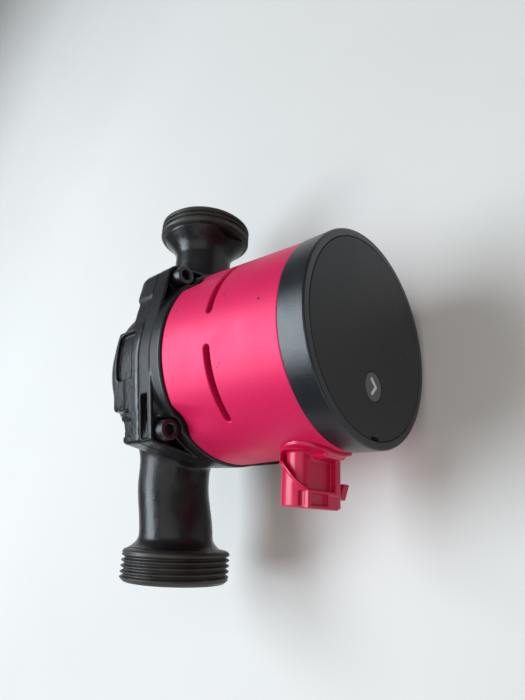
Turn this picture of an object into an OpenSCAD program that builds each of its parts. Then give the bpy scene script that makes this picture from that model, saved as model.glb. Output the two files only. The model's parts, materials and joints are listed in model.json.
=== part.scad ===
// Wet-rotor circulator pump: in-line cast housing, flanged motor and a round control head.
// The pipe runs along +X from the inlet face at the origin, the shaft lies along Y
// with the control face towards -Y, and +Z is up.

/* [Pipe connections] */
// Distance between the two sealing faces
port_spacing = 180; // [178:1:190]
// Outer diameter of the parallel pipe thread on each port
thread_d = 47.8; // [46:0.1:50]
// Pitch of the pipe thread
thread_pitch = 2.309; // [2:0.001:2.5]
// Length of the threaded collar at the inlet
inlet_collar_len = 13.5; // [12:0.5:15]
// Length of the threaded collar at the outlet
outlet_collar_len = 9.6; // [9:0.1:12]
// Bore of each port
port_bore_d = 25; // [22:0.5:26]

/* [Pump housing] */
// Distance from the inlet face to the shaft axis
shaft_x = 93.5; // [90:0.5:95]
// Where the housing and the motor flange meet, along the shaft
joint_y = -18; // [-19:0.5:-18]
// Radius of the volute's outer wall
volute_r = 42; // [41:0.5:44]
// Back of the volute, along the shaft
volute_back_y = 21; // [20:0.5:24]
// Radius of the chamber that the impeller turns in
chamber_r = 35; // [34:0.5:35.5]

/* [Motor] */
// Distance from the shaft axis to the flats on the sides of the flange
flange_reach = 44.8; // [44:0.1:45]
// Distance from each screw's centre to those flats
corner_wall = 5.9; // [5.6:0.1:6.5]
// Distance between neighbouring flange screws
screw_pitch = 68; // [66:0.5:70]
// Diameter of the shell where it meets the flange
shell_rear_d = 88; // [87:0.5:89]
// Diameter of the shell where it meets the control head
shell_front_d = 83.2; // [82.6:0.2:83.6]
// Rear edge of the shell, along the shaft
shell_rear_y = -32.5; // [-33:0.5:-32]
// Front edge of the shell, along the shaft
shell_front_y = -91; // [-92:0.5:-90.5]
// Width of each vent slot in the shell
vent_w = 3.1; // [2.5:0.1:3.5]

/* [Control head] */
// Diameter of the control ring
ring_d = 84; // [83.8:0.2:86]
// Front of the control ring, along the shaft
face_y = -102.5; // [-103:0.5:-102]
// Diameter of the flat face panel
panel_d = 77.6; // [76:0.2:78]
// Distance from the shaft axis to the push button
button_drop = 19.4; // [17:0.2:21]
// Diameter of the push button
button_d = 11; // [10:0.5:12]
// How far the push button travels
button_travel = 0.6; // [0.4:0.1:0.8]

/* [Power socket] */
// Distance from the shaft axis to the socket's mouth
socket_reach = 61.5; // [58:0.5:66]
// Width of the socket tower across the shell
socket_w = 25.6; // [24:0.1:26]
// Depth of the socket tower along the shaft
socket_d = 13.4; // [12.5:0.1:13.6]

/* [Hidden] */
$fn = 96;

eps = 0.01;
fit_gap = 0.05;
run_gap = 0.03;
hull_fn = 32;

// Pipe ports
thread_r = thread_d / 2;
thread_depth = 0.64 * thread_pitch;
crest_w = 0.5;
port_chamfer = 1.6;
bore_r = port_bore_d / 2;
bore_len = 30;
inlet_neck_r = 16.7;
outlet_neck_r = 15;

// Housing
outlet_x = port_spacing - shaft_x;
volute_corner_r = 15;
chamber_back_y = joint_y + 13;
wall_back_y = chamber_back_y + 3;
suction_r = 16.5;
suction_back_y = volute_back_y - 4.5;
plate_r = 37.9;
seal_r = 37;
seal_section_r = 0.9;
housing_flange_back_y = -8;
boss_back_y = -5.4;
boss_r = 11;
pad_back_y = 2;
pad_x = [-25, 11];
tapped_r = 2.5;
wear_ring_r = 15;

// Impeller and rotor
impeller_r = 30;
eye_r = 11.6;
neck_r = 13;
hub_plate_y = joint_y + 0.8;
blade_y = hub_plate_y + 1.4;
shroud_y = blade_y + 6;
neck_y = shroud_y + 1.4;
neck_end_y = wall_back_y - 0.2;
blade_count = 7;
blade_t = 1.4;
blade_arc_r = 20;
blade_in = [12, 0];
blade_out = 29 * [cos(55), sin(55)];
shaft_r = 3.5;
shaft_front_y = -78;
shaft_back_y = -7.5;
magnet_r = 16.4;
magnet_y = [-64, -37];
sleeve_r = 16.9;
can_r = 17.6;
can_wall = 0.4;
can_end_y = -70;
can_pocket_y = -79;
bearing_r = 7.5;
front_bearing_y = [-31, -19.5];
rear_bearing_y = [-78.6, -71];

// Stator
core_y = [-66, -38];
core_r = 36.9;
core_bore_r = 18.3;
yoke_r = 30.5;
tooth_half = 4;
tooth_count = 6;
coil_half = 10;
coil_end = 5.6;
frame_r = 39.2;
frame_wall = 2.1;
frame_front_y = -82;
frame_floor_y = -80;
flange_front_y = -26.3;
pocket_y = -19.5;
screw_seat_y = -25;
seat_r = 5.7;
rim_wall = 1.4;
collar_r = 45;
slot_y = [-22.8, -18.8];
slot_x = [-37.7, -20.1];
screw_at = screw_pitch / 2;
side_tilt = 45 - acos((flange_reach - corner_wall) / (screw_at * sqrt(2)));
foot_corner_r = 2.2;
screw_r = 2.5;
screw_head_r = 4.25;
screw_head_h = 6;

// Shell
shell_rear_r = shell_rear_d / 2;
shell_front_r = shell_front_d / 2;
shell_inner_r = 39.6;
vent_y = -57.7;
vent_span = 37;
vent_offset = 29;
scallop_r = 13;
scallop_len = 17;

// Control head
ring_r = ring_d / 2;
panel_r = panel_d / 2;
panel_t = 1.5;
button_r = button_d / 2;
button_gap = 0.15;
shelf_r = 36;
shelf_back_y = face_y + 5.5;
ring_inner_r = 39.4;
ring_spigot_y = -88;

// Electronics
board_y = [-87.6, -86];
board_r = 37.4;
display_t = 1.6;
display_y = shelf_back_y;
switch_top_y = face_y + 4.6;

// Power socket
tower_y = [-81.2, -81.2 + socket_d];
tower_z = socket_w / 2;
socket_floor_x = -socket_reach + 14;
cavity_y = [-79.6, -71];
cavity_half = 9.2;
pin_z = 5.2;
pin_r = 0.7;
pin_y = -77.8;
pin_tip_x = -56;
pin_bend_x = -43.1;
pin_tail_y = board_y[1] + pin_r + fit_gap;
socket_rim_y = [-87.4, -67.6];
socket_rim_half = 15.4;
socket_rim_r = 9.4;
hood_x = -48;
hood_step = 1;
tongue_y = [-87, -82.8];
tongue_half = 8;

// ---------------------------------------------------------------- helpers

// Moves its children from the shaft axis frame to the part's frame
module at_shaft() {
    translate([shaft_x, 0, 0]) children();
}

// Solid of revolution about the Y axis; profile x is the radius, profile y is Y
module turn_y() {
    rotate([-90, 0, 0]) rotate_extrude() children();
}

// Solid of revolution about the X axis; profile x is the radius, profile y is X
module turn_x() {
    rotate([90, 0, 90]) rotate_extrude() children();
}

// Rod along Y between two Y values
module rod_y(r, span) {
    translate([0, span[0], 0]) rotate([-90, 0, 0]) cylinder(r = r, h = span[1] - span[0]);
}

// Tube along Y between two Y values
module tube_y(r_out, r_in, span) {
    turn_y() translate([r_in, span[0]]) square([r_out - r_in, span[1] - span[0]]);
}

// Plate parallel to the face: a flat outline in X and Z, extruded between two Y values
module plate_y(span) {
    translate([0, span[1], 0]) rotate([90, 0, 0]) linear_extrude(span[1] - span[0]) children();
}

// Points of an arc, angles in degrees
function arc_points(centre, r, from, to, steps) = [
    for (i = [0 : steps]) centre + r * [cos(from + (to - from) * i / steps), sin(from + (to - from) * i / steps)]
];

// Outline of both flanges: sides that lean in a little towards the corners, which are round
// on the outlet side and nearly sharp on the inlet side
module flange_outline(inset) {
    reach = flange_reach - inset;
    foot_at = (flange_reach - foot_corner_r) / (cos(side_tilt) + sin(side_tilt));
    half = concat(
        arc_points([0, 0], reach, 0, side_tilt, 2),
        arc_points([screw_at, screw_at], corner_wall - inset, side_tilt, 90 - side_tilt, 8),
        arc_points([0, 0], reach, 90 - side_tilt, 90 + side_tilt, 4),
        arc_points([-foot_at, foot_at], foot_corner_r - inset, 90 + side_tilt, 180 - side_tilt, 5),
        arc_points([0, 0], reach, 180 - side_tilt, 180, 2)
    );
    polygon(concat(half, [for (i = [len(half) - 2 : -1 : 1]) [half[i][0], -half[i][1]]]));
}

// The four flange screw places
module at_screws() {
    for (sx = [-1, 1], sz = [-1, 1]) {
        translate([sx * screw_at, 0, sz * screw_at]) children();
    }
}

// Disc along X, used for the ends of the blended necks
module disc_x(x, y, r) {
    translate([x, y, 0]) rotate([0, 90, 0]) cylinder(r = r, h = 1, $fn = hull_fn);
}

// ---------------------------------------------------------------- pump end

// Threaded collar with its chamfered end at x = 0, running towards +X, and the flare that
// takes it down to the neck
module port_collar(length, neck_r) {
    rings = floor((length - port_chamfer - crest_w) / thread_pitch);
    turn_x() difference() {
        polygon([
            [0, 0], [thread_r - port_chamfer, 0], [thread_r, port_chamfer],
            [thread_r, length - 0.8], [thread_r - 0.8, length],
            [neck_r + 0.42 * (thread_r - neck_r), length + 2.2],
            [neck_r + 0.125 * (thread_r - neck_r), length + 6],
            [neck_r, length + 11], [neck_r, bore_len], [0, bore_len]
        ]);
        for (i = [0 : rings - 1]) {
            translate([thread_r, port_chamfer + crest_w + thread_pitch * (i + 0.5) - crest_w / 2])
                polygon([
                    [eps, -(thread_pitch - crest_w) / 2], [-thread_depth, -0.15],
                    [-thread_depth, 0.15], [eps, (thread_pitch - crest_w) / 2]
                ]);
        }
    }
}

// Volute body about the shaft axis, with a rounded back
module volute_body() {
    turn_y() {
        translate([0, joint_y]) square([volute_r, volute_back_y - volute_corner_r - joint_y]);
        square([volute_r - volute_corner_r, volute_back_y]);
        translate([volute_r - volute_corner_r, volute_back_y - volute_corner_r])
            intersection() {
                circle(r = volute_corner_r);
                square(volute_corner_r);
            }
    }
}

module pump_housing() color("#1c1d1f") difference() {
    union() {
        port_collar(inlet_collar_len, inlet_neck_r);
        translate([port_spacing, 0, 0]) mirror([1, 0, 0])
            port_collar(outlet_collar_len, outlet_neck_r);
        at_shaft() {
            volute_body();
            plate_y([joint_y, housing_flange_back_y]) flange_outline(0.5);
            // Thicker corners, and the thick pads on both sides of the volute
            plate_y([joint_y, boss_back_y]) intersection() {
                flange_outline(0.5);
                for (sx = [-1, 1], sz = [-1, 1]) {
                    translate([sx * screw_at, sz * screw_at]) circle(r = boss_r);
                }
            }
            plate_y([joint_y, pad_back_y]) intersection() {
                flange_outline(0.5);
                translate([pad_x[0], -50]) square([pad_x[1] - pad_x[0], 100]);
            }
            // Suction elbow, bending behind the impeller
            hull() {
                disc_x(bore_len - shaft_x - 3, 0, inlet_neck_r + 0.3);
                disc_x(-46, 4.5, inlet_neck_r + 0.3);
            }
            hull() {
                disc_x(-48, 4.5, inlet_neck_r + 0.6);
                disc_x(-22, 3.1, inlet_neck_r + 0.9);
            }
            // Discharge neck
            hull() {
                disc_x(outlet_x - bore_len + 2, 0, outlet_neck_r + 0.3);
                disc_x(24, -1.5, outlet_neck_r + 1.4);
            }
        }
    }
    // Port bores
    translate([-eps, 0, 0]) rotate([0, 90, 0]) cylinder(r = bore_r, h = bore_len + 2 * eps);
    translate([port_spacing - bore_len - eps, 0, 0]) rotate([0, 90, 0])
        cylinder(r = bore_r, h = bore_len + 2 * eps);
    at_shaft() {
        // Suction channel and the chamber behind the impeller's eye
        hull() {
            disc_x(bore_len - shaft_x - 2, 0, bore_r - 0.2);
            disc_x(-40, 8, 10);
        }
        hull() {
            disc_x(-41, 8, 9.7);
            disc_x(-14, 8.4, 9.2);
        }
        rod_y(suction_r, [wall_back_y, suction_back_y]);
        rod_y(wear_ring_r + fit_gap, [chamber_back_y - 1, wall_back_y + 1]);
        // Impeller chamber and discharge channel
        rod_y(chamber_r, [joint_y - 1, chamber_back_y]);
        hull() {
            disc_x(26, joint_y + 8.6, 5.2);
            disc_x(outlet_x - bore_len + 1, 0, bore_r - 0.2);
        }
        // Seal groove
        tube_y(seal_r + 1.1, seal_r - 1.1, [joint_y - 1, joint_y + 1.8]);
        // Tapped screw holes
        at_screws() rod_y(tapped_r + fit_gap, [joint_y - 1, boss_back_y - 1.5]);
    }
}

module wear_ring() color("#a9adb2") at_shaft()
    tube_y(wear_ring_r, neck_r + 0.3, [chamber_back_y - 1, wall_back_y + 0.5]);

module housing_seal() color("#151515") at_shaft() turn_y()
    translate([seal_r, joint_y + seal_section_r]) circle(r = seal_section_r - 0.02);

module bearing_plate() color("#b4b8bc") at_shaft() {
    tube_y(plate_r, bearing_r + fit_gap, [joint_y - 0.9, joint_y]);
    tube_y(bearing_r + 0.7, bearing_r + fit_gap, [front_bearing_y[0], joint_y - 0.5]);
}

module front_bearing() color("#3a3b3d") at_shaft()
    tube_y(bearing_r, shaft_r + run_gap, front_bearing_y);

module rear_bearing() color("#3a3b3d") at_shaft()
    tube_y(bearing_r, shaft_r + run_gap, rear_bearing_y);

// Thin separating can: flange, tube, end wall and a pocket for the rear bearing
module rotor_can() color("#c3c6c9") at_shaft() {
    can_out = can_r + can_wall;
    pocket_r = bearing_r + fit_gap;
    tube_y(plate_r, can_r, [joint_y - 1.4, joint_y - 0.95]);
    tube_y(can_out, can_r, [can_end_y - can_wall, joint_y - 1]);
    tube_y(can_out, pocket_r, [can_end_y - can_wall, can_end_y]);
    tube_y(pocket_r + can_wall, pocket_r, [can_pocket_y, can_end_y - can_wall + eps]);
    rod_y(pocket_r + can_wall, [can_pocket_y - can_wall, can_pocket_y + eps]);
}

// ---------------------------------------------------------------- rotor

module rotor_shaft() color("#e4e2dc") at_shaft() rod_y(shaft_r, [shaft_front_y, shaft_back_y]);

module rotor_magnet() color("#4a4b50") at_shaft()
    tube_y(magnet_r, shaft_r + fit_gap, magnet_y);

module rotor_sleeve() color("#c9ccd0") at_shaft()
    tube_y(sleeve_r, magnet_r + fit_gap, [magnet_y[0] - 0.5, magnet_y[1] + 0.5]);

module rotor_caps() color("#b9bcc0") at_shaft() {
    tube_y(sleeve_r, shaft_r + fit_gap, [magnet_y[0] - 1.4, magnet_y[0] - 0.55]);
    tube_y(sleeve_r, shaft_r + fit_gap, [magnet_y[1] + 0.55, magnet_y[1] + 1.4]);
}

module thrust_ring() color("#d8d4c8") at_shaft()
    tube_y(bearing_r - 0.3, shaft_r + fit_gap, [front_bearing_y[0] - 3.2, front_bearing_y[0] - 0.3]);

// Backward-curved blade: an arc from the eye to the rim
module impeller_blade() {
    chord = blade_out - blade_in;
    rise = sqrt(pow(blade_arc_r, 2) - pow(norm(chord) / 2, 2));
    centre = (blade_in + blade_out) / 2 + rise * [-chord[1], chord[0]] / norm(chord);
    from = blade_in - centre;
    to = blade_out - centre;
    start = atan2(from[1], from[0]);
    translate([centre[0], 0, -centre[1]]) rotate([-90, 0, 0]) rotate(start)
        rotate_extrude(angle = atan2(to[1], to[0]) - start)
            translate([blade_arc_r - blade_t / 2, 0]) square([blade_t, shroud_y - blade_y + eps]);
}

module impeller() color("#8d8a7e") at_shaft() difference() {
    union() {
        rod_y(impeller_r, [hub_plate_y, blade_y]);
        rod_y(6.5, [hub_plate_y, shroud_y - 1]);
        for (i = [0 : blade_count - 1]) {
            rotate([0, i * 360 / blade_count, 0]) translate([0, blade_y - eps, 0]) impeller_blade();
        }
    }
    rod_y(shaft_r + fit_gap, [joint_y, 0]);
}

module impeller_shroud() color("#97948a") at_shaft() {
    tube_y(impeller_r, eye_r, [shroud_y + fit_gap, neck_y]);
    tube_y(neck_r, eye_r, [neck_y - eps, neck_end_y]);
}

module impeller_lock() color("#c2c4c6") at_shaft()
    tube_y(5.2, shaft_r + fit_gap, [shroud_y - 0.95, shroud_y + 0.8]);

// ---------------------------------------------------------------- motor

// Pocket at each flange corner, outside the collar and inside a thin rim, with room for
// the screw heads
module corner_pockets() {
    difference() {
        plate_y([flange_front_y - 1, pocket_y]) difference() {
            flange_outline(rim_wall);
            circle(r = collar_r + 0.4);
        }
        at_screws() rod_y(seat_r, [screw_seat_y, pocket_y + 1]);
    }
    at_screws() rod_y(screw_head_r + 0.5, [shell_rear_y - 1, screw_seat_y]);
}

module stator_frame() color("#17181a") at_shaft() difference() {
    union() {
        plate_y([flange_front_y, joint_y]) flange_outline(0);
        turn_y() polygon([
            [30, flange_front_y + 1], [collar_r, flange_front_y + 1],
            [collar_r, shell_rear_y + 1.2], [collar_r - 0.35, shell_rear_y + 0.35],
            [collar_r - 1.2, shell_rear_y], [30, shell_rear_y]
        ]);
        tube_y(frame_r, frame_r - frame_wall, [frame_front_y, flange_front_y]);
        rod_y(frame_r - 1, [frame_front_y, frame_floor_y]);
    }
    corner_pockets();
    // Space for the stator, and the bore that the can passes through
    rod_y(frame_r - frame_wall, [frame_floor_y, coil_well_y()]);
    rod_y(can_r + can_wall + 0.4, [frame_floor_y, joint_y + 1]);
    rod_y(plate_r + 0.3, [joint_y - 1.4, joint_y + 1]);
    // Screw holes and the drain slots through the rim
    at_screws() rod_y(screw_r + 0.3, [flange_front_y - 5, joint_y + 1]);
    for (side = [-1, 1]) {
        mirror([0, 0, side < 0 ? 1 : 0])
            translate([slot_x[0], slot_y[0], collar_r - 9])
                cube([slot_x[1] - slot_x[0], slot_y[1] - slot_y[0], 12]);
    }
}

// Depth of the well that the end windings stand in
function coil_well_y() = core_y[1] + coil_end + 1;

module stator_core() color("#8b8f94") at_shaft() plate_y(core_y) difference() {
    union() {
        difference() {
            circle(r = core_r);
            circle(r = yoke_r);
        }
        intersection() {
            union() {
                for (i = [0 : tooth_count - 1]) {
                    rotate(i * 360 / tooth_count) translate([0, -tooth_half]) square([yoke_r + 1, 2 * tooth_half]);
                }
                difference() {
                    circle(r = core_bore_r + 2.2);
                    for (i = [0 : tooth_count - 1]) {
                        rotate((i + 0.5) * 360 / tooth_count) translate([0, -1.3]) square([yoke_r, 2.6]);
                    }
                }
            }
            circle(r = yoke_r + 1);
        }
    }
    circle(r = core_bore_r);
}

// One frame round a tooth: a box with the next smaller box cut out of it
module tooth_loop(rho, half_out, half_in, end_out, end_in) {
    for (i = [0 : tooth_count - 1]) {
        rotate([0, i * 360 / tooth_count, 0]) difference() {
            translate([rho[0], core_y[0] - end_out, -half_out])
                cube([rho[1] - rho[0], core_y[1] - core_y[0] + 2 * end_out, 2 * half_out]);
            translate([rho[0] - 1, core_y[0] - end_in, -half_in])
                cube([rho[1] - rho[0] + 2, core_y[1] - core_y[0] + 2 * end_in, 2 * half_in]);
        }
    }
}

module coil_bobbins() color("#efe9d6") at_shaft() {
    tooth_loop([20.7, 29.9], tooth_half + 0.9, tooth_half + fit_gap, 1, fit_gap);
}

module stator_coils() color("#b4642e") at_shaft() {
    tooth_loop([21.2, 27.6], coil_half, tooth_half + 0.95, coil_end, 1 + fit_gap);
}

module flange_screws() color("#202124") at_shaft() at_screws() difference() {
    union() {
        turn_y() polygon([
            [0, screw_seat_y - screw_head_h], [screw_head_r - 0.6, screw_seat_y - screw_head_h],
            [screw_head_r, screw_seat_y - screw_head_h + 0.6], [screw_head_r, screw_seat_y],
            [0, screw_seat_y]
        ]);
        rod_y(screw_r, [screw_seat_y - eps, boss_back_y - 2]);
    }
    translate([0, screw_seat_y - screw_head_h - eps, 0]) rotate([-90, 0, 0])
        cylinder(r = 2.31, h = 3, $fn = 6);
}

// Curved slot through the shell wall, with round ends
module vent_slot(middle) {
    rotate([0, -middle, 0]) {
        rotate([-90, 0, 0]) translate([0, 0, vent_y]) rotate(-vent_span / 2)
            rotate_extrude(angle = vent_span)
                translate([shell_inner_r - 2, -vent_w / 2]) square([8, vent_w]);
        for (side = [-1, 1]) {
            rotate([0, side * vent_span / 2, 0]) translate([shell_inner_r - 2, vent_y, 0])
                rotate([0, 90, 0]) cylinder(d = vent_w + 0.06, h = 8);
        }
    }
}

// Outside of the shell, used to seat the socket on it as well
module shell_outline(extra) {
    turn_y() polygon([
        [0, shell_front_y], [shell_front_r + extra, shell_front_y],
        [shell_rear_r + extra - 0.1, shell_rear_y - 0.8], [shell_rear_r + extra - 0.7, shell_rear_y],
        [0, shell_rear_y]
    ]);
}

module motor_shell() color("#c8103e") at_shaft() difference() {
    shell_outline(0);
    rod_y(shell_inner_r, [shell_front_y - 1, shell_rear_y + 1]);
    for (angle = [90 - vent_offset, 90 + vent_offset, 270 - vent_offset, 270 + vent_offset]) {
        vent_slot(angle);
    }
    // Shallow scallops that leave room for the screw key
    for (i = [0 : 3]) {
        rotate([0, 45 + i * 90, 0])
            translate([shell_rear_r - 1.9 + scallop_r, shell_rear_y, 0]) rotate([90, 0, 0])
                rotate([0, 7, 0]) translate([0, 0, -6]) cylinder(r = scallop_r, h = scallop_len + 6);
    }
    // Opening that the socket's tongue fills
    translate([-shell_rear_r - 1, tongue_y[0] - fit_gap, -tongue_half - fit_gap])
        cube([12, tongue_y[1] - tongue_y[0] + 2 * fit_gap, 2 * (tongue_half + fit_gap)]);
}

// ---------------------------------------------------------------- power socket

// Path of one contact: tip in the cavity, bend in the socket's base, tail on the board
module contact_pin(r) {
    translate([pin_tip_x, pin_y, 0]) rotate([0, 90, 0]) cylinder(r = r, h = pin_bend_x - pin_tip_x);
    translate([pin_bend_x, pin_y, 0]) sphere(r = r);
    rod_y_at(pin_bend_x, r, [pin_tail_y, pin_y]);
    translate([pin_bend_x, pin_tail_y, 0]) sphere(r = r);
    translate([pin_bend_x, pin_tail_y, 0]) rotate([0, 90, 0]) cylinder(r = r, h = 9);
}

module rod_y_at(x, r, span) {
    translate([x, 0, 0]) rod_y(r, span);
}

module all_pins(r) {
    for (i = [-1, 0, 1]) {
        translate([0, 0, i * pin_z]) contact_pin(r, $fn = 24);
    }
}

module contact_pins() color("#c9b26a") at_shaft() all_pins(pin_r);

// Outline of the socket tower, seen along X: two round corners on the +Z side
module tower_outline(inset) {
    depth = tower_y[1] - tower_y[0] - 2 * inset;
    corner = depth / 2 - 0.2;
    translate([-tower_z + inset, -depth / 2]) square([2 * tower_z - 2 * inset - corner, depth]);
    for (side = [-1, 1]) {
        translate([tower_z - inset - corner, side * (depth / 2 - corner)]) circle(r = corner);
    }
}

// Prism along X: outline x is Z and outline y is Y about the tower's middle
module tower_prism(x0, x1, inset) {
    translate([x0, (tower_y[0] + tower_y[1]) / 2, 0])
        rotate([0, 90, 0]) rotate(180) linear_extrude(x1 - x0) mirror([0, 1]) tower_outline(inset);
}

// Plate with large round corners that the tower stands on, before it is cut to the shell
module socket_rim() {
    z = socket_rim_half - socket_rim_r;
    y = [socket_rim_y[0] + socket_rim_r, socket_rim_y[1] - socket_rim_r];
    translate([-50, 0, 0]) rotate([0, 90, 0]) linear_extrude(20) polygon(concat(
        arc_points([z, y[1]], socket_rim_r, 0, 90, 8),
        arc_points([-z, y[1]], socket_rim_r, 90, 180, 8),
        arc_points([-z, y[0]], socket_rim_r, 180, 270, 8),
        arc_points([z, y[0]], socket_rim_r, 270, 360, 8)
    ));
}

module power_socket() color("#c01238") at_shaft() difference() {
    union() {
        tower_prism(-socket_reach, -38, 0);
        tower_prism(hood_x, -38, -hood_step);
        intersection() {
            socket_rim();
            shell_outline(2.6);
        }
        // Raised block and latch ramp near the mouth
        translate([-socket_reach - 0.6, tower_y[0] - 0.7, -8.2])
            cube([8.2, 3, 19.6]);
        translate([-socket_reach + 3.4, tower_y[0] + 0.8, -tower_z - 2.2]) cube([6.5, 6, 3]);
        translate([-42, tongue_y[0], -tongue_half])
            cube([2.6, tongue_y[1] - tongue_y[0], 2 * tongue_half]);
    }
    // The shell and its inside, except for the tongue
    difference() {
        shell_outline(fit_gap);
        translate([-42, tongue_y[0], -tongue_half])
            cube([2.5, tongue_y[1] - tongue_y[0], 2 * tongue_half]);
    }
    rod_y(shell_inner_r, [shell_front_y, shell_rear_y]);
    // Plug cavity
    translate([-socket_reach - 2, cavity_y[0], -cavity_half])
        cube([socket_floor_x + socket_reach + 2, cavity_y[1] - cavity_y[0], 2 * cavity_half]);
    // Recess in the raised block
    translate([-socket_reach + 1.2, tower_y[0] - 1, -1.5]) cube([4, 1.5, 10.5]);
    all_pins(pin_r + 0.02);
}

// ---------------------------------------------------------------- electronics

module main_board() color("#1f5a38") at_shaft() plate_y(board_y) difference() {
    circle(r = board_r);
    for (i = [0 : 2]) {
        rotate(30 + i * 120) translate([board_r - 4, 0]) circle(d = 3.2);
    }
}

module power_module() color("#222326") at_shaft()
    translate([4, -84.9 + 2 * fit_gap, -9]) cube([24, 2.05, 18]);

module thermal_pad() color("#9aa7b5") at_shaft()
    translate([3, frame_front_y - 0.75, -10]) cube([26, 0.7, 20]);

module capacitors() color("#3b3f4a") at_shaft() {
    for (side = [0, 1]) {
        translate([-25.5 + side * 9, board_y[0] - 3.85, 6]) cylinder(d = 7.6, h = 18);
    }
}

module choke_core() color("#4d5a45") at_shaft()
    translate([18, 0, 14]) tube_y(8.5, 4.6, [board_y[0] - 6.2, board_y[0] - 1.2]);

// Turns of wire round the choke core, each a rectangular loop
module choke_winding() color("#b9682f") at_shaft() translate([18, board_y[0] - 3.7, 14])
    for (i = [0 : 11]) {
        rotate([0, i * 30 + 15, 0]) difference() {
            translate([3.75, -3.4, -0.45]) cube([5.6, 6.8, 0.9]);
            translate([4.5, -2.6, -1]) cube([4.1, 5.2, 2]);
        }
    }

module filter_capacitor() color("#b7a432") at_shaft()
    translate([-4, board_y[0] - 6.55, -28]) cube([18, 6.5, 10]);

module display_board() color("#1d4f33") at_shaft()
    plate_y([display_y + fit_gap, display_y + display_t]) circle(r = 38.2);

module face_lamps() color("#dfe6c8") at_shaft() {
    for (i = [-2 : 2]) {
        translate([-6, display_y - 0.85, i * 4.5 - 0.8]) cube([1.6, 0.85, 1.6]);
    }
}

module switch_case() color("#2b2c2e") at_shaft() translate([-button_drop, 0, 0]) {
    translate([-3, display_y - 0.4, -3]) cube([6, 0.4, 6]);
    rod_y(1.6, [switch_top_y, display_y - 0.4 + eps]);
}

module light_guide() color([0.9, 0.93, 0.95, 0.5]) at_shaft()
    translate([-7.5, face_y + panel_t + fit_gap, -12])
        cube([4.6, display_y - face_y - panel_t - 0.95, 24]);

// ---------------------------------------------------------------- control head

module control_ring() color("#1b1d20") at_shaft() turn_y() polygon([
    [panel_r + 0.1, face_y], [ring_r - 1.2, face_y], [ring_r - 0.35, face_y + 0.35],
    [ring_r, face_y + 1.2], [ring_r, shell_front_y - 0.5], [ring_r - 0.5, shell_front_y],
    [ring_inner_r, shell_front_y], [ring_inner_r, ring_spigot_y], [ring_inner_r - 1, ring_spigot_y],
    [ring_inner_r - 1, shelf_back_y], [shelf_r, shelf_back_y], [shelf_r, face_y + panel_t],
    [panel_r + 0.1, face_y + panel_t]
]);

module face_panel() color("#2e2f32") at_shaft() difference() {
    turn_y() polygon([
        [0, face_y], [panel_r - 0.3, face_y], [panel_r, face_y + 0.3],
        [panel_r, face_y + panel_t], [0, face_y + panel_t]
    ]);
    translate([-button_drop, 0, 0]) rod_y(button_r + button_gap, [face_y - 1, 0]);
    // Prying notch at the rim
    translate([-panel_r - 1, face_y - 1, -2.6]) cube([2.2, 1.9, 5.2]);
}

module mode_button() color("#58595c") at_shaft() translate([-button_drop, 0, 0]) {
    rod_y(button_r, [face_y, face_y + panel_t + 0.7]);
    rod_y(button_r + 0.9, [face_y + panel_t + 0.02, face_y + panel_t + 1]);
    rod_y(1.2, [face_y + panel_t, switch_top_y - button_travel - 0.1]);
}

pump_housing();
wear_ring();
housing_seal();
bearing_plate();
front_bearing();
rotor_can();
rear_bearing();
stator_frame();
stator_core();
coil_bobbins();
stator_coils();
flange_screws();
motor_shell();
power_socket();
contact_pins();
main_board();
power_module();
thermal_pad();
capacitors();
choke_core();
choke_winding();
filter_capacitor();
display_board();
face_lamps();
switch_case();
light_guide();
control_ring();
face_panel();
rotor_shaft();
rotor_magnet();
rotor_sleeve();
rotor_caps();
thrust_ring();
impeller();
impeller_shroud();
impeller_lock();
mode_button();
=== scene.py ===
"""Looks of the in-line circulator pump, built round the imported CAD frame.

Shapes are worked out in millimetres about the point where the shaft axis crosses the pipe
axis, and written to Blender in metres. Cast and moulded pieces are distance fields turned
into meshes, turned pieces are lathed profiles, and the pipe threads are true helices.
"""

import json
import math

import bpy
import numpy as np
from mathutils import Matrix, Vector


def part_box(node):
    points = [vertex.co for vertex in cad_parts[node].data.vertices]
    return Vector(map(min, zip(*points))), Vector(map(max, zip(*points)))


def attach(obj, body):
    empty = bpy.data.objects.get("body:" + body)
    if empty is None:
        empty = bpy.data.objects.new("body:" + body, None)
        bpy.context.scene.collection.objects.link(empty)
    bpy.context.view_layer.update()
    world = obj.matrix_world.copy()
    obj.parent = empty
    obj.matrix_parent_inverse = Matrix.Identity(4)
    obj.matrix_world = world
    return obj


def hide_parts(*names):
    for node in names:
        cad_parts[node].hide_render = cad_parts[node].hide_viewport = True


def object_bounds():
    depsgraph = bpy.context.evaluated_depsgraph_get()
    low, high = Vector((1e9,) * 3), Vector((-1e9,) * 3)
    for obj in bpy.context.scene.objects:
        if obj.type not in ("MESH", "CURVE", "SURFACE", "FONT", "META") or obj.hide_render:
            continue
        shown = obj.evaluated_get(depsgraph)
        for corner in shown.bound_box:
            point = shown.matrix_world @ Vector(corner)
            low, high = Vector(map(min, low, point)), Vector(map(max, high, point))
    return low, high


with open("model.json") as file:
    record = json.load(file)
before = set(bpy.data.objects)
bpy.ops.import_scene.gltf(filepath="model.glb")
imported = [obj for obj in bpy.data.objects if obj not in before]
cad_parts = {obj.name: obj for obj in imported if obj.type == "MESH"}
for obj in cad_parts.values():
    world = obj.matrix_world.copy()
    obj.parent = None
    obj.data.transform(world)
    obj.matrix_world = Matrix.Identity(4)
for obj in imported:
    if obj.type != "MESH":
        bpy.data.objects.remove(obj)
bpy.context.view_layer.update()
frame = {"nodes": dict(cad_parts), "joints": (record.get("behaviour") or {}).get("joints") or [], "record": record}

MM = 0.001

# ---------------------------------------------------------------- measures from the frame

shaft = Vector(frame["joints"][0]["pos_m"])


def low(node):
    return (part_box(node)[0] - shaft) / MM


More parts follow.
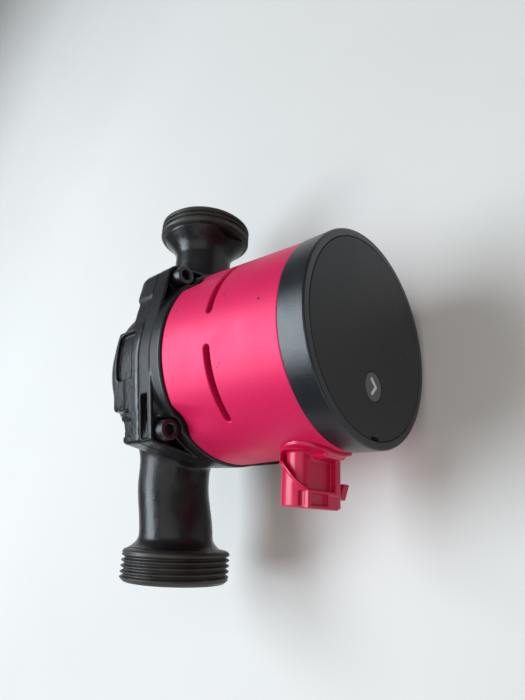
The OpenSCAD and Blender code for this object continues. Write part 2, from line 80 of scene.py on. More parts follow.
def high(node):
    return (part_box(node)[1] - shaft) / MM


FACE_Y = low("control_ring").y
RING_BACK_Y = low("motor_shell").y
SHELL_REAR_Y = high("motor_shell").y
JOINT_Y = high("stator_frame").y
RING_R = high("control_ring").z
SHELL_FRONT_R = RING_R - 0.4
SHELL_REAR_R = 44.0
PANEL_R = high("face_panel").z
INLET_X = low("pump_housing").x
OUTLET_X = high("pump_housing").x
THREAD_R = high("pump_housing").y
BUTTON_X = (low("mode_button").x + high("mode_button").x) / 2
BUTTON_R = 5.5
SCREW_HEAD_R = 4.25
SCREW_AT = high("flange_screws").z - SCREW_HEAD_R
SCREW_TOP_Y = low("flange_screws").y
MOUTH_X = low("power_socket").x


# ---------------------------------------------------------------- distance fields

def length2(a, b):
    return np.sqrt(a * a + b * b)


def join(a, b, k):
    """Both shapes together, with a fillet of about k."""
    h = np.clip(0.5 + 0.5 * (b - a) / k, 0, 1)
    return b * (1 - h) + a * h - k * h * (1 - h)


def cut(a, b, k):
    """a without b, with the edge eased by about k."""
    return -join(-a, b, k)


def both(a, b, k):
    """What lies in a and in b, with the edge eased by about k."""
    return -join(-a, -b, k)


def sweep_flat(flat, along, start, end, edge):
    """A flat outline's distance swept along an axis between two values, with rounded edges."""
    q0 = flat + edge
    q1 = np.abs(along - (start + end) / 2) - (end - start) / 2 + edge
    return length2(np.maximum(q0, 0), np.maximum(q1, 0)) + np.minimum(np.maximum(q0, q1), 0) - edge


def round_rect(a, b, half_a, half_b, r):
    qa = np.abs(a) - half_a + r
    qb = np.abs(b) - half_b + r
    return length2(np.maximum(qa, 0), np.maximum(qb, 0)) + np.minimum(np.maximum(qa, qb), 0) - r


def drum(x, y, z, r, start, end, edge):
    """Cylinder along Y round the shaft axis."""
    return sweep_flat(length2(x, z) - r, y, start, end, edge)


def brick(x, y, z, lo, hi, r):
    """Box between two corners, with rounded edges."""
    qs = [
        np.abs(c - (a + b) / 2) - (b - a) / 2 + r
        for c, a, b in zip((x, y, z), lo, hi)
    ]
    outer = np.sqrt(sum(np.maximum(q, 0) ** 2 for q in qs))
    return outer + np.minimum(np.maximum(np.maximum(qs[0], qs[1]), qs[2]), 0) - r


def ease(t):
    """0 below 0, 1 above 1 and smooth between."""
    t = np.clip(t, 0, 1)
    return t * t * (3 - 2 * t)


# ---------------------------------------------------------------- meshes

def surface_net(f, lo, step):
    """Vertices and quads on the zero level of a sampled distance field (negative is inside)."""
    inside = f < 0
    shape = tuple(n - 1 for n in f.shape)
    total = np.zeros(shape + (3,), np.float32)
    count = np.zeros(shape, np.int16)
    crossings = []
    for axis in range(3):
        a = [slice(None)] * 3
        b = [slice(None)] * 3
        a[axis] = slice(0, -1)
        b[axis] = slice(1, None)
        fa, fb = f[tuple(a)], f[tuple(b)]
        hit = inside[tuple(a)] != inside[tuple(b)]
        i = np.argwhere(hit)
        t = fa[hit] / (fa[hit] - fb[hit])
        p = i.astype(np.float32)
        p[:, axis] += t
        others = [k for k in range(3) if k != axis]
        for du in (0, 1):
            for dv in (0, 1):
                c = i.copy()
                c[:, others[0]] -= du
                c[:, others[1]] -= dv
                ok = np.all((c >= 0) & (c < np.array(shape)), axis=1)
                key = (c[ok, 0], c[ok, 1], c[ok, 2])
                np.add.at(total, key, p[ok])
                np.add.at(count, key, 1)
        crossings.append((axis, others, i, inside[tuple(a)][hit]))
    cells = np.argwhere(count > 0)
    index = np.full(shape, -1, np.int64)
    index[tuple(cells.T)] = np.arange(len(cells))
    where = tuple(cells.T)
    verts = total[where] / count[where][:, None]
    quads = []
    for axis, others, i, first_inside in crossings:
        ok = (i[:, others[0]] > 0) & (i[:, others[1]] > 0)
        ok &= (i[:, others[0]] < shape[others[0]]) & (i[:, others[1]] < shape[others[1]])
        i, first_inside = i[ok], first_inside[ok]
        corners = []
        for du, dv in ((0, 0), (1, 0), (1, 1), (0, 1)):
            c = i.copy()
            c[:, others[0]] -= du
            c[:, others[1]] -= dv
            corners.append(index[tuple(c.T)])
        q = np.stack(corners, 1)
        flip = first_inside if axis != 1 else ~first_inside
        q[~flip] = q[~flip][:, ::-1]
        quads.append(q)
    return verts * step + np.asarray(lo, np.float32), np.concatenate(quads)


def gradient(fn, p, e):
    """Slope of a field at points, from steps of e each way."""
    x, y, z = p.T
    return np.stack([
        fn(x + e, y, z) - fn(x - e, y, z),
        fn(x, y + e, z) - fn(x, y - e, z),
        fn(x, y, z + e) - fn(x, y, z - e),
    ], 1) / (2 * e)


def write_mesh(name, verts_mm, faces, normals=None):
    """A smooth-shaded object from points in millimetres about the shaft axis."""
    mesh = bpy.data.meshes.new(name)
    co = np.asarray(verts_mm, np.float64) * MM + np.array(shaft)
    faces = np.asarray(faces)
    mesh.vertices.add(len(co))
    mesh.vertices.foreach_set("co", co.astype(np.float32).ravel())
    n = faces.shape[1]
    mesh.loops.add(len(faces) * n)
    mesh.loops.foreach_set("vertex_index", faces.astype(np.int32).ravel())
    mesh.polygons.add(len(faces))
    mesh.polygons.foreach_set("loop_start", np.arange(0, len(faces) * n, n, dtype=np.int32))
    mesh.polygons.foreach_set("use_smooth", np.ones(len(faces), bool))
    mesh.update(calc_edges=True)
    mesh.validate()
    if normals is not None:
        mesh.normals_split_custom_set_from_vertices(normals.tolist())
    obj = bpy.data.objects.new(name, mesh)
    bpy.context.scene.collection.objects.link(obj)
    return obj


SLABS_AT_ONCE = 16
PULLS = 3


def field_piece(name, fn, lo, hi, step):
    """Meshes a distance field, pulls each vertex onto the exact surface and shades it smoothly."""
    axes = [
        np.arange(a - 1.5 * step, b + 2.5 * step, step, dtype=np.float32) for a, b in zip(lo, hi)
    ]
    start = [a[0] for a in axes]
    field = np.empty([len(a) for a in axes], np.float32)
    yy, zz = np.meshgrid(axes[1], axes[2], indexing="ij")
    for i in range(0, len(axes[0]), SLABS_AT_ONCE):
        xs = axes[0][i:i + SLABS_AT_ONCE][:, None, None]
        xs = np.broadcast_to(xs, (len(xs),) + yy.shape)
        field[i:i + SLABS_AT_ONCE] = fn(xs, yy[None], zz[None])
    verts, quads = surface_net(field, start, step)
    p = verts.astype(np.float64)
    for _ in range(PULLS):
        g = gradient(fn, p, 0.02)
        steep = np.maximum((g * g).sum(1), 0.2)
        move = fn(*p.T) / steep
        p -= g * np.clip(move, -0.5 * step, 0.5 * step)[:, None]
    g = gradient(fn, p, 0.25 * step)
    normals = g / np.maximum(np.linalg.norm(g, axis=1), 1e-6)[:, None]
    return write_mesh(name, p, quads, normals)


def lathe(name, profile, segments, centre=(0, 0)):
    """Turns a closed profile of (radius, place along the axis) into a solid."""
    pts = np.asarray(profile, float)
    n = len(pts)
    angle = np.arange(segments) * 2 * math.pi / segments
    r, t = pts[:, 0][None], pts[:, 1][None]
    c, s = np.cos(angle)[:, None], np.sin(angle)[:, None]
    t = np.broadcast_to(t, (segments, n))
    v = np.stack([centre[0] + r * c, t, centre[1] + r * s], 2).reshape(-1, 3)
    i = np.arange(segments)[:, None]
    j = np.arange(n)[None]
    a = i * n + j
    b = ((i + 1) % segments) * n + j
    c2 = ((i + 1) % segments) * n + (j + 1) % n
    d = i * n + (j + 1) % n
    faces = np.stack([a, b, c2, d], 2).reshape(-1, 4)
    return write_mesh(name, v, faces)


def arc(cx, cy, r, start, end, count):
    """Points on an arc, angles in degrees."""
    return [
        (cx + r * math.cos(math.radians(start + (end - start) * i / count)),
         cy + r * math.sin(math.radians(start + (end - start) * i / count)))
        for i in range(count + 1)
    ]


# ---------------------------------------------------------------- outline of both flanges

FLANGE_REACH = 44.8
CORNER_WALL = 5.9
FOOT_R = 2.2
SIDE_TILT = math.pi / 4 - math.acos((FLANGE_REACH - CORNER_WALL) / (SCREW_AT * math.sqrt(2)))
FOOT_AT = (FLANGE_REACH - FOOT_R) / (math.cos(SIDE_TILT) + math.sin(SIDE_TILT))


def flange_flat(x, z):
    """Distance to the outline: sides lean in towards the corners, which are rounder at the outlet."""
    centre = np.where(x > 0, SCREW_AT, FOOT_AT)
    u, v = np.abs(x) - centre, np.abs(z) - centre
    lean = np.arctan2(v, u)
    corner = (lean > SIDE_TILT) & (lean < math.pi / 2 - SIDE_TILT)
    fold = np.abs((np.arctan2(z, x) + math.pi / 4) % (math.pi / 2) - math.pi / 4)
    sides = length2(x, z) * np.cos(np.maximum(fold - SIDE_TILT, 0)) - FLANGE_REACH
    return np.where(corner, length2(u, v) - np.where(x > 0, CORNER_WALL, FOOT_R), sides)


# ---------------------------------------------------------------- pump housing

VOLUTE_R = 39.2
VOLUTE_SWELL = 1.2
VOLUTE_BACK_Y = 21.0
VOLUTE_EDGE = 16.0
NECK_BACK_REACH = 2.4
INLET_COLLAR = 13.5
OUTLET_COLLAR = 9.6
COLLAR_LAP = (0.5, 0.3)

SUCTION_R = 16.7
SUCTION_END_X = -8
SUCTION_FLARE = 5.2
SUCTION_FLARE_RUN = 6.5
SUCTION_Y = 1.5
DISCHARGE_R = 14.7
DISCHARGE_END_X = 8
SHOULDER_R = 21.6
SHOULDER_SLOPE = 0.95
NECK_BLEND = (8.0, 6.0)

PLATE_INSET = 0.5
PLATE_BACK_Y = -8.0
CORNER_REACH = 11.0
CORNER_BACK_Y = -5.4
FOOT_X = -24.6
FOOT_Y = -3.2
FOOT_SLOPE = 0.3
PAD_MIDDLE_X = -7
PAD_HALF = 18
PAD_BACK_Y = 2.0
PAD_FROM_Z = 20

BORE_R = 12.5
CHAMBER_R = 16.5
EYE_R = 15.0
ROOM_R = 35
ROOM_BACK = 13
VOLUTE_EXIT_X = 26
SEAL_R = 37
SEAL_HALF = 1.1
SEAL_DEPTH = 1.8

# Smooth shifts along X: amount, where it starts, over what run. The outlet's run along -X.
SUCTION_SHIFT = ((5.4, -76, 26), (-3.8, -40, 18))
SUCTION_WIDEN = ((1.0, -48, 26),)
DISCHARGE_SHIFT = ((1.2, -50, 25),)
DISCHARGE_WIDEN = ((1.6, -56, 20),)
BORE_SHIFT = ((5.0, -78, 28), (3.4, -52, 14))
BORE_NARROW = ((2.9, -66, 28),)
EXIT_SHIFT = ((9.4, -57, 32),)
EXIT_NARROW = ((7.0, -57, 32),)

# Dents in the flange's two sides: middle and half width along X, both ends along Y, depth, corner
PAD_DENTS = (
    (-26.6, 1.2, -10.6, 6.0, 1.6, 0.5),
    (-32.6, 3.4, -12.6, -4.8, 1.1, 1.0),
    (-1.5, 10.5, -12.5, -0.8, 1.7, 2.0),
)


def shifted(x, shifts):
    return sum(amount * ease((x - start) / run) for amount, start, run in shifts)


def suction_neck(x, y, z):
    """Neck from the inlet collar to behind the impeller, on an S-bend and flared at the collar."""
    collar_x = INLET_X + INLET_COLLAR - COLLAR_LAP[0]
    flare = SUCTION_FLARE * np.clip(1 - (x - collar_x) / SUCTION_FLARE_RUN, 0, 1) ** 2.4
    r = SUCTION_R + flare + shifted(x, SUCTION_WIDEN)
    neck = length2(y - SUCTION_Y - shifted(x, SUCTION_SHIFT), z) - r
    return np.maximum(neck, np.maximum(collar_x - x, x - SUCTION_END_X))


def discharge_neck(x, y, z):
    """Rounded shoulder under the outlet collar, then a cone down to the neck."""
    collar_x = OUTLET_X - OUTLET_COLLAR + COLLAR_LAP[1]
    down = collar_x - x
    shoulder = SHOULDER_R - SHOULDER_SLOPE * np.maximum(down - 0.8, 0)
    slim = DISCHARGE_R + shifted(-x, DISCHARGE_WIDEN)
    neck = length2(y + shifted(-x, DISCHARGE_SHIFT), z) + join(-shoulder, -slim, 3.4)
    return np.maximum(neck, np.maximum(-down, DISCHARGE_END_X - x))


def with_flange(body, x, y, z):
    """Adds the flange plate, its thicker corners, the inlet side's feet and the pads."""
    flat = flange_flat(x, z) + PLATE_INSET
    ax, az = np.abs(x), np.abs(z)
    lip_y = JOINT_Y + 0.6
    body = join(body, sweep_flat(flat, y, JOINT_Y, PLATE_BACK_Y, 0.9), 2.4)
    corner = both(flat, length2(ax - SCREW_AT, az - SCREW_AT) - CORNER_REACH, 1.5)
    body = join(body, sweep_flat(corner, y, lip_y, CORNER_BACK_Y, 1.2), 1.6)
    foot = np.maximum(x - FOOT_X, y - FOOT_Y - FOOT_SLOPE * (x - FOOT_X))
    foot = np.maximum(both(flat, foot, 1.0), np.maximum(lip_y - y, PAD_FROM_Z + 2 - az))
    body = join(body, foot, 0.6)
    span = np.abs(x - PAD_MIDDLE_X) - PAD_HALF
    body = join(body, sweep_flat(both(flat, span, 1.5), y, lip_y, PAD_BACK_Y, 1.6), 2.0)
    for x_mid, x_half, y_lo, y_hi, depth, r in PAD_DENTS:
        dent = round_rect(x - x_mid, y - (y_lo + y_hi) / 2, x_half, (y_hi - y_lo) / 2, r)
        dent = np.maximum(both(dent, -flat - depth, 0.4), PAD_FROM_Z - az)
        body = cut(body, dent, 0.5)
    return body


def channel_field(x, y, z):
    """Port bores, suction elbow, eye, impeller room, discharge channel and seal groove."""
    r = BORE_R - shifted(x, BORE_NARROW)
    suction = np.maximum(length2(y - shifted(x, BORE_SHIFT), z) - r, x + 6)
    suction = join(suction, drum(x, y, z, CHAMBER_R, -2, 16.5, 3.0), 2.0)
    eye = drum(x, y, z, EYE_R, -8, 1, 0.2)
    room = drum(x, y, z, ROOM_R, JOINT_Y - 6, JOINT_Y + ROOM_BACK, 1.5)
    r = BORE_R - shifted(-x, EXIT_NARROW)
    discharge = length2(y + shifted(-x, EXIT_SHIFT), z) - r
    discharge = np.maximum(discharge, VOLUTE_EXIT_X - x)
    seal = np.abs(length2(x, z) - SEAL_R) - SEAL_HALF
    seal = np.maximum(seal, y - JOINT_Y - SEAL_DEPTH)
    channels = np.minimum(np.minimum(suction, eye), np.minimum(room, discharge))
    return np.minimum(channels, seal)


def housing_field(x, y, z):
    # Volute: a drum with a generous round back, a little fuller towards the inlet
    swell = VOLUTE_SWELL * np.sin(np.arctan2(z, x) * 0.5) ** 2
    flat = length2(x, z) - (VOLUTE_R + swell)
    body = sweep_flat(flat, y, JOINT_Y, VOLUTE_BACK_Y, VOLUTE_EDGE)
    body = join(body, suction_neck(x, y, z), NECK_BLEND[0])
    body = both(body, y - VOLUTE_BACK_Y - NECK_BACK_REACH, 1.5)
    body = join(body, discharge_neck(x, y, z), NECK_BLEND[1])
    return cut(with_flange(body, x, y, z), channel_field(x, y, z), 0.5)


THREAD_PITCH = 2.309
THREAD_DEPTH = 1.45
THREAD_CHAMFER = 1.6
THREAD_START = 1.2
THREAD_RUN_OUT = 1.6
ROWS_PER_PITCH = 12
THREAD_SEGMENTS = 240


def thread_collar(name, end_x, sign, length):
    """A threaded port collar: end face, chamfer, helical thread, relief and back cone."""
    crest_r = THREAD_R - THREAD_CHAMFER
    stop = length - THREAD_RUN_OUT
    profile = [(BORE_R, 9.0), (BORE_R, 4.0), (BORE_R, 0.35), (BORE_R + 0.35, 0.0)]
    profile += [(BORE_R + 2 + i * 2.4, 0.0) for i in range(3)]
    profile += [(crest_r - 0.3, 0.0), (crest_r, 0.1)]
    rows = int((stop - THREAD_START) / THREAD_PITCH * ROWS_PER_PITCH)
    zone = slice(len(profile), len(profile) + rows + 1)
    profile += [(THREAD_R, THREAD_START + (stop - THREAD_START) * i / rows) for i in range(rows + 1)]
    profile += [(THREAD_R - 0.25, length - 1.1), (THREAD_R - 0.9, length - 0.45)]
    profile += [(THREAD_R - 2.2, length), (18.0, length + 0.3), (14.0, length + 0.3)]
    pts = np.asarray(profile)
    angle = np.arange(THREAD_SEGMENTS)[:, None] * 2 * math.pi / THREAD_SEGMENTS
    r = np.repeat(pts[:, 0][None], THREAD_SEGMENTS, 0)
    t = np.repeat(pts[:, 1][None], THREAD_SEGMENTS, 0)
    phase = (t[:, zone] / THREAD_PITCH - angle / (2 * math.pi)) % 1.0
    # Whitworth-like form: rounded crest and root, straight flanks
    tooth = np.clip((np.abs(phase - 0.5) * 2 - 0.14) / 0.72, 0, 1)
    tooth = ease(tooth) * 0.35 + tooth * 0.65
    run_in = ease((t[:, zone] - THREAD_START) / 1.4) * ease((stop - t[:, zone]) / 1.2)
    top = THREAD_R - np.clip(THREAD_CHAMFER - t[:, zone], 0, THREAD_CHAMFER) * 0.95
    r[:, zone] = np.minimum(THREAD_R - THREAD_DEPTH * tooth * run_in, top)
    c, s = np.cos(angle), np.sin(angle)
    v = np.stack([end_x + sign * t, r * c, sign * r * s], 2).reshape(-1, 3)
    n = len(pts)
    i = np.arange(THREAD_SEGMENTS)[:, None]
    j = np.arange(n)[None]
    k = (i + 1) % THREAD_SEGMENTS
    m = (j + 1) % n
    faces = np.stack([i * n + j, k * n + j, k * n + m, i * n + m], 2).reshape(-1, 4)
    return write_mesh(name, v, faces[:, ::-1])


# ---------------------------------------------------------------- motor flange

FRAME_FRONT_Y = -26.3
COLLAR_R = 45.0
POCKET_Y = -19.5
POCKET_RIM = 1.4
SEAT_Y = -25.0
SEAT_R = 5.7
HEAD_PLAY = 0.5
SCREW_HOLE_R = 2.8
DRAIN_SLOT = ((-37.7, -23.6, 38.5), (-20.1, -19.2, 50))
CUP_R = 39.2
CUP_TOP_Y = -82
WELL_R = 37.1
WELL_Y = (-80, -31.4)
ROTOR_HOLE_R = 18.4
SPIGOT_R = 38.2
SPIGOT_DEPTH = 1.4


def frame_field(x, y, z):
    flat = flange_flat(x, z)
    radius = length2(x, z)
    at_screw = length2(np.abs(x) - SCREW_AT, np.abs(z) - SCREW_AT)
    body = sweep_flat(flat, y, FRAME_FRONT_Y, JOINT_Y - 0.1, 0.45)
    pocket = both(flat + POCKET_RIM, COLLAR_R + 0.4 - radius, 1.0)
    body = cut(body, sweep_flat(pocket, y, FRAME_FRONT_Y - 6, POCKET_Y, 0.6), 0.4)
    seat = sweep_flat(at_screw - SEAT_R, y, SEAT_Y, JOINT_Y - 2, 0.4)
    body = join(body, both(seat, flat + 0.4, 0.3), 0.7)
    collar = sweep_flat(radius - COLLAR_R, y, SHELL_REAR_Y + 0.05, FRAME_FRONT_Y + 1, 1.1)
    body = join(body, collar, 0.5)
    head_room = at_screw - SCREW_HEAD_R - HEAD_PLAY
    body = cut(body, sweep_flat(head_room, y, SHELL_REAR_Y - 3, SEAT_Y, 0.2), 0.4)
    body = cut(body, sweep_flat(at_screw - SCREW_HOLE_R, y, SEAT_Y - 3, JOINT_Y + 2, 0.1), 0.2)
    body = cut(body, brick(x, y, np.abs(z), *DRAIN_SLOT, 0.5), 0.5)
    # Cup for the stator, open towards the face, with the rotor's hole and the housing's spigot
    body = join(body, sweep_flat(radius - CUP_R, y, CUP_TOP_Y, JOINT_Y - 3, 0.5), 0.4)
    body = cut(body, sweep_flat(radius - WELL_R, y, *WELL_Y, 0.5), 0.3)
    body = cut(body, sweep_flat(radius - ROTOR_HOLE_R, y, -60, 0, 0.2), 0.2)
    return cut(body, sweep_flat(radius - SPIGOT_R, y, JOINT_Y - SPIGOT_DEPTH, 2, 0.2), 0.2)


SHANK_R = 2.5
SHANK_END_Y = -6
KEY_HALF = 2.0
KEY_DEPTH = 3.0
KEY_CHAMFER_R = 2.6
KEY_CHAMFER_SLOPE = 1.6


def screw_field(x, y, z):
    """One socket-head screw about its own axis."""
    head = sweep_flat(length2(x, z) - SCREW_HEAD_R, y, SCREW_TOP_Y, SEAT_Y, 0.4)
    shank = sweep_flat(length2(x, z) - SHANK_R, y, SEAT_Y - 1, SHANK_END_Y, 0.3)
    body = join(head, shank, 0.3)
    cone = length2(x, z) - (KEY_CHAMFER_R - (y - SCREW_TOP_Y) * KEY_CHAMFER_SLOPE)
    body = cut(body, np.maximum(cone, y - SCREW_TOP_Y - 1.0), 0.1)
    sides = [
        np.abs(x * math.cos(a) + z * math.sin(a)) - KEY_HALF
        for a in map(math.radians, (30, 90, 150))
    ]
    hexagon = np.maximum(np.maximum(sides[0], sides[1]), sides[2])
    key = sweep_flat(hexagon, y, SCREW_TOP_Y - 2, SCREW_TOP_Y + KEY_DEPTH, 0.1)
    return cut(body, key, 0.12)


# ---------------------------------------------------------------- red shell

SHELL_INNER_R = 39.6
VENT_Y = -57.7
VENT_W = 3.1
VENT_SPAN = math.radians(37)
VENT_ANGLES = (61, 119, 241, 299)
SCALLOP_R = 13
SCALLOP_DEPTH = 2.1
SCALLOP_TILT = math.radians(7.5)
SOCKET_HOLE = ((-50, -87, -8), (-30, -82.8, 8))


def shell_radius(y):
    share = (y - SHELL_REAR_Y) / (RING_BACK_Y - SHELL_REAR_Y)
    return SHELL_REAR_R + (SHELL_FRONT_R - SHELL_REAR_R) * share


def shell_field(x, y, z):
    radius = length2(x, z)
    angle = np.arctan2(z, x)
    body = sweep_flat(radius - shell_radius(y), y, RING_BACK_Y, SHELL_REAR_Y - 0.05, 0.55)
    inside = sweep_flat(radius - SHELL_INNER_R, y, RING_BACK_Y - 5, SHELL_REAR_Y + 5, 0.1)
    body = cut(body, inside, 0.3)
    for middle in VENT_ANGLES:
        off = np.abs((angle - math.radians(middle) + math.pi) % (2 * math.pi) - math.pi)
        along = np.maximum(off - VENT_SPAN / 2, 0) * radius
        body = cut(body, length2(along, y - VENT_Y) - VENT_W / 2, 0.5)
    # Scallops that leave room for the screws' key
    rise = (SHELL_REAR_Y - y) * math.tan(SCALLOP_TILT)
    for i in range(4):
        a = math.radians(45 + 90 * i)
        out = x * math.cos(a) + z * math.sin(a)
        side = -x * math.sin(a) + z * math.cos(a)
        centre = SHELL_REAR_R - SCALLOP_DEPTH + SCALLOP_R + rise
        body = cut(body, length2(out - centre, side) - SCALLOP_R, 2.2)
    return cut(body, brick(x, y, z, *SOCKET_HOLE, 0.3), 0.3)


# ---------------------------------------------------------------- power socket

TOWER_Y = (-81.2, -67.8)
TOWER_HALF = 12.8
TOWER_R = 6.3
TOWER_R_LOW = 3.8
TOWER_TOP_X = -36
HOOD_OUT = 0.9
HOOD_LOW_Z = -7.8
SLANT_X = -45.8
SLANT_DROP = 9.9
SLANT_RUN = 15.8
LIP = 1.3
WINDOW_TOP_X = -41.9
WINDOW_BACK_Y = -69.4
WINDOW_LOW_Z = -5.8
WINDOW_DEPTH = 1.7
PLATE_T = 1.4
PLATE_HALF = (15.4, 9.9)
PLATE_R = 9.4
PLATE_MIDDLE_Y = -77.5
COVER = ((-44.3, -86.1, -6.4), (-40, -78.5, 6.4), 1.2)
BLOCK = ((MOUTH_X, -81.7, -8.2), (MOUTH_X + 6.6, -78.9, 10.4), 0.5)
NOTCH = ((MOUTH_X + 1.3, -86, -1.5), (MOUTH_X + 5.2, -80.3, 8.8), 0.5)
GAP = ((MOUTH_X - 2, -86, 10.5), (MOUTH_X + 6.0, -78.2, 12.6), 0.3)
LATCH = ((MOUTH_X + 4.0, -80.4, -15.0), (MOUTH_X + 10.2, -74.8, -11.0), 0.5)
TONGUE = ((-42, -87, -7.9), (-39.5, -82.9, 7.9), 0.3)
CAVITY_HALF = (9.2, 3.9)
CAVITY_R = 3.0
CAVITY_MIDDLE_Y = -74.9
CAVITY_DEPTH = 14.6


def tower_flat(y, z, inset):
    """Distance to the tower's outline: round towards +Z, less so towards -Z."""
    middle_y = (TOWER_Y[0] + TOWER_Y[1]) / 2
    depth = (TOWER_Y[1] - TOWER_Y[0]) / 2
    r = np.where(z > 0, TOWER_R, TOWER_R_LOW)
    return round_rect(z, y - middle_y, TOWER_HALF, depth, r) + inset


def socket_field(x, y, z):
    radius = length2(x, z)
    body = sweep_flat(tower_flat(y, z, 0), x, MOUTH_X + 0.6, TOWER_TOP_X, 0.5)
    # Hood round the tower's root; its lower edge slants from the +Z side down to the block
    round_front = np.clip((0.7 * (13 - z) - y - 71.5) / SLANT_RUN, 0, 1)
    slant_x = SLANT_X - SLANT_DROP * (1 - (1 - round_front) ** 2)
    hood = both(tower_flat(y, z, -HOOD_OUT), x - TOWER_TOP_X, 0.3)
    hood = both(hood, slant_x - LIP - x, 0.5)
    body = join(body, both(hood, HOOD_LOW_Z - z, 0.4), 0.5)
    # Window in the hood that shows the inner wall
    window = both(slant_x - x, x - WINDOW_TOP_X, 0.6)
    window = both(window, y - WINDOW_BACK_Y, 0.6)
    window = both(window, WINDOW_LOW_Z - z, 0.6)
    body = cut(body, both(window, -tower_flat(y, z, WINDOW_DEPTH), 0.3), 0.3)
    # Rim plate that follows the shell, with a low cover over the contacts' feet
    plate = round_rect(z, y - PLATE_MIDDLE_Y, *PLATE_HALF, PLATE_R)
    plate = sweep_flat(plate, x, -50, -30, 0.1)
    body = join(body, both(plate, radius - shell_radius(y) - PLATE_T, 0.7), 0.7)
    body = join(body, brick(x, y, z, *COVER), 1.4)
    # Raised block with its recess, the gap beside it and the latch ramp
    body = join(body, brick(x, y, z, *BLOCK), 0.4)
    body = cut(body, brick(x, y, z, *NOTCH), 0.4)
    body = cut(body, brick(x, y, z, *GAP), 0.4)
    slant = (x - MOUTH_X - 4.5) * 0.5
    body = join(body, brick(x, y, z + slant, *LATCH), 0.4)
    # Seat on the shell, the tongue into it and the plug cavity
    body = cut(body, radius - shell_radius(y) - 0.02, 0.1)
    body = join(body, brick(x, y, z, *TONGUE), 0.2)
    cavity = round_rect(z, y - CAVITY_MIDDLE_Y, *CAVITY_HALF, CAVITY_R)
    return cut(body, sweep_flat(cavity, x, MOUTH_X - 4, MOUTH_X + CAVITY_DEPTH, 1.0), 0.5)


# ---------------------------------------------------------------- control head

RING_EDGE = 0.75
LIP_EDGE = 0.3
REAR_EDGE = 0.45
RING_TONGUE_R = (39.4, 38.4)
RING_TONGUE_Y = -88.0
LEDGE_R = 36.0
PANEL_T = 1.5
BUTTON_TOP = 0.06
BUTTON_EDGE = 0.25
BUTTON_FLANGE = (2.1, 2.6, 3.7)
CHEVRON_W = 0.62
CHEVRON_TIP = np.array((0.0, -1.5))
CHEVRON_ENDS = (np.array((-2.7, 1.2)), np.array((2.7, 1.2)))


def control_ring():
    y = FACE_Y
    lip_r = PANEL_R + 0.12
    profile = [(lip_r, y + 1.45), (lip_r, y + 0.55)]
    profile += arc(lip_r + LIP_EDGE, y + LIP_EDGE + 0.12, LIP_EDGE, 180, 270, 6)
    profile += arc(RING_R - RING_EDGE, y + RING_EDGE + 0.12, RING_EDGE, -90, 0, 10)
    profile += [(RING_R, y + 2.4), (RING_R, y + 6.5), (RING_R, RING_BACK_Y - 1.2)]
    profile += arc(RING_R - REAR_EDGE, RING_BACK_Y - REAR_EDGE, REAR_EDGE, 0, 90, 5)
    outer, inner = RING_TONGUE_R
    profile += [(outer, RING_BACK_Y), (outer, RING_TONGUE_Y), (inner, RING_TONGUE_Y)]
    profile += [(inner, y + 5.5), (LEDGE_R, y + 5.5), (LEDGE_R, y + 1.55), (lip_r - 1.4, y + 1.55)]
    return lathe("control_ring_moulding", profile[::-1], 256)


def panel_field(x, y, z):
    r = PANEL_R - 0.05
    disc = sweep_flat(length2(x, z) - r, y, FACE_Y + 0.12, FACE_Y + PANEL_T, 0.22)
    hole = length2(x - BUTTON_X, z) - BUTTON_R - 0.12
    disc = cut(disc, sweep_flat(hole, y, FACE_Y - 3, FACE_Y + 4, 0.05), 0.16)
    notch = brick(x, y, z, (-r - 3, FACE_Y - 3, -2.6), (-r + 1.3, FACE_Y + 1.3, 2.6), 0.5)
    return cut(disc, notch, 0.3)


def mode_button():
    y = FACE_Y + 0.1
    r = BUTTON_R - 0.08
    ledge_y, under_y, end_y = (y + t for t in BUTTON_FLANGE)
    profile = [(0.001, y + BUTTON_TOP)]
    profile += [(r * i / 8, y + BUTTON_TOP * (1 - (i / 8) ** 2)) for i in range(1, 8)]
    profile += arc(r - BUTTON_EDGE, y + BUTTON_EDGE, BUTTON_EDGE, -90, 0, 6)
    profile += [(r, ledge_y), (r + 0.85, ledge_y), (r + 0.85, under_y), (1.2, under_y)]
    profile += [(1.2, end_y), (0.001, end_y)]
    return lathe("push_button", profile, 96, centre=(BUTTON_X, 0))


def chevron_field(x, y, z):
    """Low raised chevron on the button, pointing to the reader's right (-Z)."""
    strokes = []
    for end in CHEVRON_ENDS:
        d = end - CHEVRON_TIP
        u, v = x - BUTTON_X - CHEVRON_TIP[0], z - CHEVRON_TIP[1]
        t = np.clip((u * d[0] + v * d[1]) / (d @ d), 0, 1)
        strokes.append(length2(u - t * d[0], v - t * d[1]) - CHEVRON_W)
    flat = np.minimum(*strokes)
    return sweep_flat(flat, y, FACE_Y + 0.04, FACE_Y + 0.52, 0.04)


# ---------------------------------------------------------------- material helpers

def material(name, colour, roughness, metallic=0.0):
    m = bpy.data.materials.new(name)
    m.use_nodes = True
    shader = m.node_tree.nodes["Principled BSDF"]
    shader.inputs["Metallic"].default_value = metallic
    shader.inputs["Base Color"].default_value = (*colour, 1)
    shader.inputs["Roughness"].default_value = roughness
    return m, m.node_tree, shader


def textured(tree, kind, coords, **settings):
    """A texture node on the given coordinates, with its sockets set by name."""
    n = tree.nodes.new(kind)
    for key, value in settings.items():
        n.inputs[key].default_value = value
    tree.links.new(coords, n.inputs["Vector"])
    return n


def noise(tree, coords, scale, detail=4.0, rough=0.55):
    n = textured(tree, "ShaderNodeTexNoise", coords, Scale=scale, Detail=detail, Roughness=rough)
    return n.outputs["Fac"]


